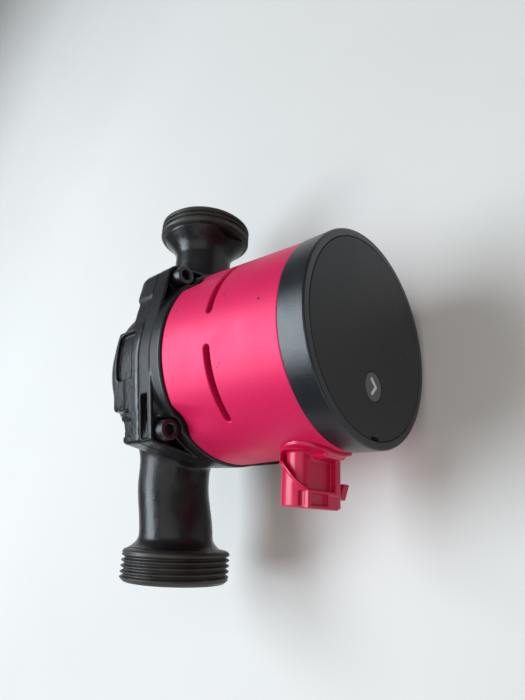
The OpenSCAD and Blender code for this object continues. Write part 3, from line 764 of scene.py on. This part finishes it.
def ramp(tree, fac, *stops):
    """Colour ramp through (place, colour) stops."""
    n = tree.nodes.new("ShaderNodeValToRGB")
    e = n.color_ramp.elements
    while len(e) < len(stops):
        e.new(0.5)
    for element, (place_at, colour) in zip(e, stops):
        element.position = place_at
        element.color = (*colour, 1)
    tree.links.new(fac, n.inputs["Fac"])
    return n.outputs["Color"]


def spread(tree, fac, low_value, high_value, from_low=0.3, from_high=0.7):
    n = tree.nodes.new("ShaderNodeMapRange")
    n.inputs["From Min"].default_value = from_low
    n.inputs["From Max"].default_value = from_high
    n.inputs["To Min"].default_value = low_value
    n.inputs["To Max"].default_value = high_value
    tree.links.new(fac, n.inputs["Value"])
    return n.outputs["Result"]


def mixed(tree, fac, socket, colour):
    """Mixes the colour into the socket's colour."""
    n = tree.nodes.new("ShaderNodeMix")
    n.data_type = "RGBA"
    first, second = n.inputs[6], n.inputs[7]
    tree.links.new(fac, n.inputs["Factor"])
    tree.links.new(socket, first)
    second.default_value = (*colour, 1)
    return n.outputs[2]


def bump(tree, shader, height, strength, distance, after=None):
    n = tree.nodes.new("ShaderNodeBump")
    n.inputs["Strength"].default_value = strength
    n.inputs["Distance"].default_value = distance
    tree.links.new(height, n.inputs["Height"])
    if after is not None:
        tree.links.new(after, n.inputs["Normal"])
    tree.links.new(n.outputs["Normal"], shader.inputs["Normal"])
    return n.outputs["Normal"]


def object_coords(tree):
    return tree.nodes.new("ShaderNodeTexCoord").outputs["Object"]


def tint_and_gloss(tree, shader, tint, gloss):
    tree.links.new(tint, shader.inputs["Base Color"])
    tree.links.new(gloss, shader.inputs["Roughness"])


# ---------------------------------------------------------------- materials

def plain_finish(name, colour, roughness, metallic=0.0, grain=900.0, vary=0.15, rough_vary=0.08):
    """A moulded, ground or drawn finish: slight drift of colour and roughness, and fine grain."""
    m, tree, shader = material(name, colour, roughness, metallic)
    at = object_coords(tree)
    dark = [c * (1 - vary) for c in colour]
    pale = [min(1, c * (1 + vary)) for c in colour]
    tint = ramp(tree, noise(tree, at, 60), (0.3, dark), (0.7, pale))
    smooth, dull = max(0.03, roughness - rough_vary), min(1, roughness + rough_vary)
    tint_and_gloss(tree, shader, tint, spread(tree, noise(tree, at, 120), smooth, dull))
    bump(tree, shader, noise(tree, at, grain, 3), 0.25, 0.0001)
    return m


def black_coat():
    """Glossy black electro-coat over a sand-cast skin, dusty where it has been handled."""
    m, tree, shader = material("black_cast_coat", (0.005, 0.005, 0.006), 0.3)
    shader.inputs["Specular IOR Level"].default_value = 0.3
    shader.inputs["Coat Weight"].default_value = 0.12
    shader.inputs["Coat Roughness"].default_value = 0.12
    at = object_coords(tree)
    dust = noise(tree, at, 38, 6, 0.6)
    clean, dull, dusty = (0.004, 0.004, 0.005), (0.008, 0.008, 0.009), (0.025, 0.024, 0.023)
    tint = ramp(tree, dust, (0.35, clean), (0.62, dull), (0.8, dusty))
    tint_and_gloss(tree, shader, tint, spread(tree, dust, 0.24, 0.46, 0.35, 0.8))
    skin = bump(tree, shader, noise(tree, at, 420, 4, 0.6), 0.5, 0.0003)
    bump(tree, shader, noise(tree, at, 90, 3, 0.5), 0.4, 0.0008, skin)
    return m


def thread_coat():
    """Duller and browner coat on the machined threads, worn in patches."""
    m, tree, shader = material("black_thread_coat", (0.02, 0.018, 0.016), 0.42)
    at = object_coords(tree)
    wear = noise(tree, at, 150, 6, 0.65)
    black, brown, worn = (0.012, 0.011, 0.01), (0.028, 0.024, 0.02), (0.075, 0.064, 0.052)
    tint = ramp(tree, wear, (0.3, black), (0.6, brown), (0.78, worn))
    tint_and_gloss(tree, shader, tint, spread(tree, wear, 0.34, 0.6))
    bump(tree, shader, noise(tree, at, 700, 4), 0.3, 0.0001)
    return m


def frame_coat():
    """Satin black coating of the motor flange, smoother than the casting."""
    m, tree, shader = material("black_flange_coat", (0.008, 0.008, 0.009), 0.3)
    shader.inputs["Specular IOR Level"].default_value = 0.32
    at = object_coords(tree)
    drift = noise(tree, at, 45, 5)
    tint = ramp(tree, drift, (0.35, (0.006, 0.006, 0.007)), (0.75, (0.014, 0.014, 0.016)))
    tint_and_gloss(tree, shader, tint, spread(tree, drift, 0.24, 0.4))
    bump(tree, shader, noise(tree, at, 800, 3), 0.3, 0.00012)
    return m


def shell_paint():
    """Crimson metallic paint: fine flake, slight orange peel and a few dark specks."""
    m, tree, shader = material("crimson_metallic_paint", (0.65, 0.002, 0.066), 0.5, 0.25)
    shader.inputs["Specular IOR Level"].default_value = 0.32
    shader.inputs["Coat Weight"].default_value = 0.1
    shader.inputs["Coat Roughness"].default_value = 0.35
    at = object_coords(tree)
    flake = textured(tree, "ShaderNodeTexVoronoi", at, Scale=4200).outputs["Distance"]
    soft = noise(tree, at, 30, 3)
    base = ramp(tree, soft, (0.3, (0.58, 0.001, 0.057)), (0.7, (0.64, 0.002, 0.068)))
    glint = spread(tree, flake, 0.0, 0.4, 0.2, 0.7)
    colour = mixed(tree, glint, base, (0.78, 0.03, 0.17))
    specks = spread(tree, noise(tree, at, 260, 2, 0.4), 0.0, 0.85, 0.735, 0.76)
    colour = mixed(tree, specks, colour, (0.12, 0.004, 0.02))
    tint_and_gloss(tree, shader, colour, spread(tree, noise(tree, at, 70, 4), 0.44, 0.54))
    peel = bump(tree, shader, noise(tree, at, 500, 2), 0.18, 0.00012)
    bump(tree, shader, flake, 0.12, 0.00005, peel)
    return m


def red_plastic():
    """Moulded red plastic that lets a little light in."""
    m, tree, shader = material("red_socket_plastic", (0.52, 0.002, 0.05), 0.3)
    shader.inputs["Specular IOR Level"].default_value = 0.4
    shader.inputs["Subsurface Weight"].default_value = 0.08
    shader.inputs["Subsurface Radius"].default_value = (0.004, 0.001, 0.001)
    at = object_coords(tree)
    soft = noise(tree, at, 50, 3)
    tint = ramp(tree, soft, (0.3, (0.49, 0.002, 0.048)), (0.7, (0.56, 0.003, 0.058)))
    tint_and_gloss(tree, shader, tint, spread(tree, noise(tree, at, 130, 4), 0.26, 0.38))
    bump(tree, shader, noise(tree, at, 600, 3), 0.12, 0.0001)
    return m


def ring_plastic():
    """Satin black moulding with a fine spark-eroded grain that catches the light."""
    m, tree, shader = material("satin_black_moulding", (0.005, 0.006, 0.009), 0.3)
    at = object_coords(tree)
    grain = textured(tree, "ShaderNodeTexVoronoi", at, Scale=3200).outputs["Distance"]
    drift = noise(tree, at, 60, 4)
    tint = ramp(tree, drift, (0.3, (0.004, 0.005, 0.007)), (0.75, (0.008, 0.010, 0.014)))
    tint_and_gloss(tree, shader, tint, spread(tree, drift, 0.26, 0.34))
    bump(tree, shader, grain, 0.4, 0.0001)
    return m


def panel_film():
    """Dark matt film with faint smears and grains of dust."""
    m, tree, shader = material("dark_panel_film", (0.02, 0.02, 0.022), 0.42)
    shader.inputs["Specular IOR Level"].default_value = 0.3
    at = object_coords(tree)
    smear = noise(tree, at, 26, 5, 0.6)
    clean, dull, greasy = (0.014, 0.014, 0.016), (0.018, 0.018, 0.021), (0.032, 0.031, 0.033)
    tint = ramp(tree, smear, (0.4, clean), (0.68, dull), (0.82, greasy))
    dust = spread(tree, noise(tree, at, 520, 2, 0.3), 0.0, 0.35, 0.76, 0.8)
    tint = mixed(tree, dust, tint, (0.25, 0.25, 0.26))
    tint_and_gloss(tree, shader, tint, spread(tree, smear, 0.38, 0.5))
    bump(tree, shader, noise(tree, at, 1500, 2), 0.15, 0.00005)
    return m


def patterned(name, colour, roughness, metallic, texture, settings, stops, strength, distance):
    """A finish whose colour and relief both follow one regular texture; returns that texture too."""
    m, tree, shader = material(name, colour, roughness, metallic)
    pattern = textured(tree, texture, object_coords(tree), **settings)
    tint = ramp(tree, pattern.outputs["Fac"], *stops)
    tree.links.new(tint, shader.inputs["Base Color"])
    bump(tree, shader, pattern.outputs["Fac"], strength, distance)
    return m, pattern


def laminated_steel():
    """Stacked sheets: fine dark lines across the shaft direction."""
    m, wave = patterned(
        "stacked_laminations", (0.32, 0.33, 0.35), 0.4, 1.0, "ShaderNodeTexWave", {"Scale": 600},
        [(0.1, (0.12, 0.12, 0.13)), (0.5, (0.36, 0.37, 0.39))], 0.3, 0.0001,
    )
    wave.bands_direction = "Y"
    return m


def wound_copper():
    return patterned(
        "enamelled_copper", (0.62, 0.24, 0.08), 0.3, 0.9,
        "ShaderNodeTexWave", {"Scale": 420, "Distortion": 0.6},
        [(0.1, (0.28, 0.08, 0.02)), (0.6, (0.66, 0.27, 0.09))], 0.5, 0.0002,
    )[0]


def circuit_board():
    return patterned(
        "solder_resist", (0.02, 0.11, 0.045), 0.3, 0.0, "ShaderNodeTexBrick", {"Scale": 140},
        [(0.2, (0.018, 0.1, 0.04)), (0.9, (0.05, 0.2, 0.09))], 0.3, 0.0001,
    )[0]


def clear_plastic():
    m, tree, shader = material("clear_light_guide", (0.9, 0.93, 0.95), 0.12)
    shader.inputs["Transmission Weight"].default_value = 0.9
    shader.inputs["IOR"].default_value = 1.49
    at = object_coords(tree)
    tree.links.new(spread(tree, noise(tree, at, 200), 0.08, 0.2), shader.inputs["Roughness"])
    bump(tree, shader, noise(tree, at, 300), 0.05, 0.0001)
    return m


def floor_material():
    m, tree, shader = material("pale_floor", (0.6, 0.58, 0.55), 0.6)
    soft = noise(tree, object_coords(tree), 3, 5)
    tint = ramp(tree, soft, (0.3, (0.58, 0.56, 0.53)), (0.7, (0.62, 0.60, 0.57)))
    tree.links.new(tint, shader.inputs["Base Color"])
    return m


DETAILED_FINISHES = {
    "coated_cast_iron": black_coat,
    "black_frame": frame_coat,
    "red_shell_paint": shell_paint,
    "red_plastic": red_plastic,
    "ring_plastic": ring_plastic,
    "panel_film": panel_film,
    "laminations": laminated_steel,
    "enamelled_copper": wound_copper,
    "circuit_board": circuit_board,
    "clear_plastic": clear_plastic,
}

# Slot: name, colour, roughness, then metallic, grain, drift of colour and of roughness
PLAIN_FINISHES = {
    "stainless": ("drawn_stainless", (0.55, 0.56, 0.58), 0.28, 1.0, 500),
    "seal_rubber": ("seal_rubber", (0.02, 0.02, 0.02), 0.6, 0.0, 1200),
    "carbon_ceramic": ("carbon_ceramic", (0.05, 0.05, 0.055), 0.45, 0.0, 1500),
    "bobbin_plastic": ("bobbin_plastic", (0.78, 0.74, 0.62), 0.45),
    "black_screw_steel": ("black_screw_steel", (0.045, 0.046, 0.05), 0.33, 0.8, 1600, 0.3, 0.1),
    "plated_brass": ("plated_contact", (0.72, 0.62, 0.38), 0.25, 1.0, 1800),
    "component_black": ("moulded_epoxy", (0.025, 0.025, 0.027), 0.5),
    "thermal_pad": ("thermal_pad", (0.35, 0.4, 0.48), 0.7),
    "capacitor_sleeve": ("capacitor_sleeve", (0.06, 0.065, 0.085), 0.3),
    "ferrite": ("coated_ferrite", (0.09, 0.12, 0.08), 0.55),
    "capacitor_box": ("capacitor_box", (0.52, 0.42, 0.05), 0.35),
    "lamp_lens": ("lamp_lens", (0.8, 0.82, 0.7), 0.2),
    "button_plastic": ("grey_button_plastic", (0.088, 0.088, 0.093), 0.42, 0.0, 1400, 0.06, 0.04),
    "shaft_ceramic": ("polished_ceramic", (0.8, 0.78, 0.72), 0.15),
    "magnet": ("sintered_magnet", (0.06, 0.06, 0.065), 0.5, 0.3),
    "impeller_plastic": ("glass_filled_plastic", (0.2, 0.19, 0.16), 0.5, 0.0, 1100),
}

finishes = {slot: make() for slot, make in DETAILED_FINISHES.items()}
finishes.update({slot: plain_finish(*values) for slot, values in PLAIN_FINISHES.items()})
threads = thread_coat()
print_white = plain_finish("pale_print", (0.62, 0.63, 0.65), 0.45, 0.0, 1500, 0.05, 0.03)


# ---------------------------------------------------------------- build

node_slot = {s["node"]: s["material_slot"] for s in frame["record"]["subparts"]}

for name, obj in frame["nodes"].items():
    finish = finishes[node_slot[name]]
    for held in obj.material_slots:
        held.material = finish


def dress(obj, slot, body, *nodes, finish=None):
    """Gives a new piece its finish and its body, and hides the CAD nodes it stands for."""
    obj.data.materials.clear()
    obj.data.materials.append(finish or finishes[slot])
    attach(obj, body)
    if nodes:
        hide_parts(*nodes)


housing = field_piece(
    "housing_casting", housing_field,
    (INLET_X + INLET_COLLAR - 1, JOINT_Y - 0.5, -46), (OUTLET_X - OUTLET_COLLAR + 1, 25, 46), 0.8,
)
dress(housing, "coated_cast_iron", "pump", "pump_housing")
for name, end_x, sign, length in (
    ("inlet_thread", INLET_X, 1, INLET_COLLAR),
    ("outlet_thread", OUTLET_X, -1, OUTLET_COLLAR),
):
    collar = thread_collar(name, end_x, sign, length)
    dress(collar, "coated_cast_iron", "pump", finish=threads)

flange = field_piece("motor_flange", frame_field, (-46, -83, -46), (46, JOINT_Y, 46), 0.62)
dress(flange, "black_frame", "pump", "stator_frame")

shell = field_piece(
    "shell_skin", shell_field, (-45, RING_BACK_Y, -45), (45, SHELL_REAR_Y, 45), 0.6,
)
dress(shell, "red_shell_paint", "pump", "motor_shell")

# Four screws from one mesh, each with its key socket turned differently
screw_1 = field_piece(
    "flange_screw_1", screw_field, (-5.2, SCREW_TOP_Y, -5.2), (5.2, SHANK_END_Y, 5.2), 0.22,
)
screws = [screw_1]
for i in (1, 2, 3):
    screw = bpy.data.objects.new(f"flange_screw_{i + 1}", screw_1.data.copy())
    bpy.context.scene.collection.objects.link(screw)
    turn = Matrix.Rotation(math.radians(37 * i), 4, "Y")
    screw.data.transform(Matrix.Translation(shaft) @ turn @ Matrix.Translation(-shaft))
    screws.append(screw)
corners = [(sx * SCREW_AT, sz * SCREW_AT) for sx in (-1, 1) for sz in (-1, 1)]
for screw, (x, z) in zip(screws, corners):
    screw.data.transform(Matrix.Translation(Vector((x, 0, z)) * MM))
    dress(screw, "black_screw_steel", "pump", *(["flange_screws"] if screw is screw_1 else []))

socket = field_piece("socket_moulding", socket_field, (-64, -89.5, -18), (-35, -68, 16), 0.3)
dress(socket, "red_plastic", "pump", "power_socket")

dress(control_ring(), "ring_plastic", "pump", "control_ring")
panel = field_piece(
    "panel_plate", panel_field,
    (-PANEL_R, FACE_Y, -PANEL_R), (PANEL_R, FACE_Y + 1.6, PANEL_R), 0.42,
)
dress(panel, "panel_film", "pump", "face_panel")
dress(mode_button(), "button_plastic", "button", "mode_button")
mark = field_piece(
    "button_chevron", chevron_field,
    (BUTTON_X - 4, FACE_Y, -3), (BUTTON_X + 4, FACE_Y + 0.6, 3), 0.12,
)
dress(mark, "button_plastic", "button", finish=print_white)


# ---------------------------------------------------------------- stage, light and camera

def aim(obj, place_at, target, up=(0, 0, 1)):
    """Stands an object at a place, with its -Z towards the target and its Y upwards."""
    forward = (Vector(target) - Vector(place_at)).normalized()
    right = forward.cross(Vector(up)).normalized()
    m = Matrix((right, right.cross(forward), -forward)).transposed().to_4x4()
    m.translation = Vector(place_at)
    obj.matrix_world = m


FLOOR_HALF = 3.0
FLOOR_GAP = 0.0002

floor_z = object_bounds()[0][2] - FLOOR_GAP
floor_mesh = bpy.data.meshes.new("floor")
floor_mesh.from_pydata(
    [(sx * FLOOR_HALF, sy * FLOOR_HALF, floor_z) for sx, sy in ((-1, -1), (1, -1), (1, 1), (-1, 1))],
    [], [(0, 1, 2, 3)],
)
floor = bpy.data.objects.new("floor", floor_mesh)
bpy.context.scene.collection.objects.link(floor)
floor_mesh.materials.append(floor_material())

middle = shaft + Vector((0, -0.04, 0))

# Name, place from the middle, width, height, power, colour
LIGHTS = (
    ("window", (0.0, 0.71, 1.0), 1.15, 0.6, 22, (0.80, 0.91, 1.0)),
    ("overhead", (-0.1, -0.7, 1.3), 1.6, 1.6, 8, (1.0, 0.98, 0.95)),
    ("side_fill", (-1.3, -0.3, 0.6), 1.0, 1.0, 4.5, (1.0, 0.97, 0.94)),
)
for name, offset, width, height, power, colour in LIGHTS:
    data = bpy.data.lights.new(name, "AREA")
    data.shape = "RECTANGLE"
    data.size = width
    data.size_y = height
    data.energy = power
    data.color = colour
    lamp = bpy.data.objects.new(name, data)
    bpy.context.scene.collection.objects.link(lamp)
    aim(lamp, middle + Vector(offset), middle)

world = bpy.data.worlds.new("studio")
bpy.context.scene.world = world
world.use_nodes = True
background = world.node_tree.nodes["Background"]
background.inputs["Color"].default_value = (0.94, 0.95, 1.0, 1)
background.inputs["Strength"].default_value = 0.2

EYE = Vector((0.0256, -0.1912, 0.1558))
LOOK = Vector((0.3277, 0.6417, -0.6935))
PHOTO_UP = Vector((0.9438, -0.1889, 0.2712))

camera_data = bpy.data.cameras.new("camera")
camera_data.sensor_width = 36
camera_data.lens = 25.81
camera_data.clip_start = 0.01
camera = bpy.data.objects.new("camera", camera_data)
bpy.context.scene.collection.objects.link(camera)
aim(camera, EYE, EYE + LOOK, PHOTO_UP)
bpy.context.scene.camera = camera
bpy.context.scene.view_settings.view_transform = "Standard"
